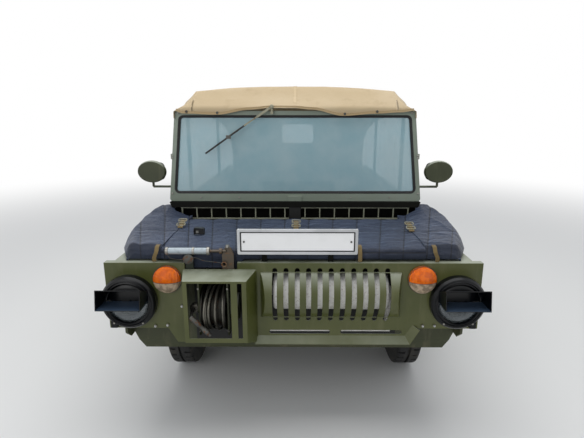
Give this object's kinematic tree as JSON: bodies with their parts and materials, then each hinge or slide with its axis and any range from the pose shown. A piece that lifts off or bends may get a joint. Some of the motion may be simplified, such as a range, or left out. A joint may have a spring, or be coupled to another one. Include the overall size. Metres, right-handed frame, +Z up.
{
  "type": "amphibious army 4x4 car",
  "caption": "Light amphibious army car with a boat-shaped hull, slotted front shield over a winch, canvas top, steering, engine lid and drop tailgate.",
  "frame": {"origin": "on the ground under the middle of the vehicle", "axes": "+Z up, the front faces -Y, +X is the vehicle's left"},
  "size_m": [1.858, 3.682, 1.69],
  "materials": {
    "body_paint": "semi-matt olive paint",
    "frame_paint": "pale worn olive paint",
    "dark_paint": "dark green paint",
    "black_metal": "gloss black paint",
    "silver_paint": "pale heat-proof paint with rust specks",
    "bare_steel": "worn bare steel",
    "cast_iron": "plain casting",
    "tyre_rubber": "matt",
    "canvas": "tan canvas",
    "quilt": "quilted dark slate cloth",
    "seat_cover": "dark leatherette",
    "window_glass": "clear",
    "lamp_glass": "clear",
    "amber": "amber lens",
    "red": "red lens",
    "plate_white": "blank white plate",
    "black_plastic": "black"
  },
  "bodies": {
    "chassis": {"cable_guide": "bare_steel", "canvas_top": "canvas", "cowl": "body_paint", "dashboard": "body_paint", "deck_quilt": "quilt", "driver_seat": "seat_cover", "engine_block": "cast_iron", "front_arms": "dark_paint", "front_deck": "body_paint", "front_shield": "body_paint", "headlamp_left": "black_metal", "headlamp_right": "black_metal", "hull_bow": "body_paint", "hull_floor": "body_paint", "hull_side_left": "body_paint", "hull_side_right": "body_paint", "hull_tail": "body_paint", "intake_grille": "dark_paint", "lamp_lenses": "lamp_glass", "loading_ramps": "body_paint", "mirrors": "dark_paint", "muffler": "silver_paint", "passenger_seats": "seat_cover", "rear_arms": "dark_paint", "seat_frames": "dark_paint", "steering_column": "dark_paint", "tail_fittings": "dark_paint", "tail_lamps": "red", "top_bows": "dark_paint", "turn_lamps": "amber", "winch_frame": "dark_paint", "windscreen_frame": "frame_paint", "windscreen_glass": "window_glass", "wiper": "bare_steel"},
    "engine_lid": {"engine_lid": "body_paint", "lid_quilt": "quilt", "number_plate": "plate_white"},
    "steering_wheel": {"steering_wheel": "black_plastic"},
    "winch_drum": {"winch_drum": "bare_steel"},
    "tailgate": {"tailgate": "body_paint"},
    "knuckle_left": {"knuckle_left": "dark_paint"},
    "knuckle_right": {"knuckle_right": "dark_paint"},
    "wheel_front_left": {"tyre_front_left": "tyre_rubber", "rim_front_left": "body_paint"},
    "wheel_front_right": {"tyre_front_right": "tyre_rubber", "rim_front_right": "body_paint"},
    "wheel_rear_left": {"tyre_rear_left": "tyre_rubber", "rim_rear_left": "body_paint"},
    "wheel_rear_right": {"tyre_rear_right": "tyre_rubber", "rim_rear_right": "body_paint"}
  },
  "joints": [
    {"name": "steering_turn", "type": "hinge", "parent": "chassis", "child": "steering_wheel", "pos_m": [0, -0.211, 1.052], "axis": [0, 0.7613, 0.6484], "range_deg": [-420, 420]},
    {"name": "knuckle_left_steer", "type": "hinge", "parent": "chassis", "child": "knuckle_left", "pos_m": [0.6, -1.001, 0.315], "axis": [0, 0, 1], "range_deg": [-28, 28]},
    {"name": "knuckle_right_steer", "type": "hinge", "parent": "chassis", "child": "knuckle_right", "pos_m": [-0.6, -1.001, 0.315], "axis": [0, 0, 1], "range_deg": [-28, 28]},
    {"name": "wheel_front_left_spin", "type": "hinge", "parent": "knuckle_left", "child": "wheel_front_left", "pos_m": [0.66, -1.001, 0.315], "axis": [1, 0, 0], "continuous": true},
    {"name": "wheel_front_right_spin", "type": "hinge", "parent": "knuckle_right", "child": "wheel_front_right", "pos_m": [-0.66, -1.001, 0.315], "axis": [1, 0, 0], "continuous": true},
    {"name": "wheel_rear_left_spin", "type": "hinge", "parent": "chassis", "child": "wheel_rear_left", "pos_m": [0.66, 0.799, 0.315], "axis": [1, 0, 0], "continuous": true},
    {"name": "wheel_rear_right_spin", "type": "hinge", "parent": "chassis", "child": "wheel_rear_right", "pos_m": [-0.66, 0.799, 0.315], "axis": [1, 0, 0], "continuous": true},
    {"name": "lid_lift", "type": "hinge", "parent": "chassis", "child": "engine_lid", "pos_m": [0, -1.135, 0.879], "axis": [-1, 0, 0], "range_deg": [0, 60]},
    {"name": "tailgate_drop", "type": "hinge", "parent": "chassis", "child": "tailgate", "pos_m": [0, 1.817, 0.545], "axis": [-1, 0, 0], "range_deg": [0, 90]},
    {"name": "winch_drum_turn", "type": "hinge", "parent": "chassis", "child": "winch_drum", "pos_m": [-0.357, -1.663, 0.648], "axis": [1, 0, 0], "continuous": true}
  ],
  "couplings": [
    {"joint": "knuckle_left_steer", "follows": "steering_turn", "ratio": 0.0666},
    {"joint": "knuckle_right_steer", "follows": "steering_turn", "ratio": 0.0666}
  ]
}
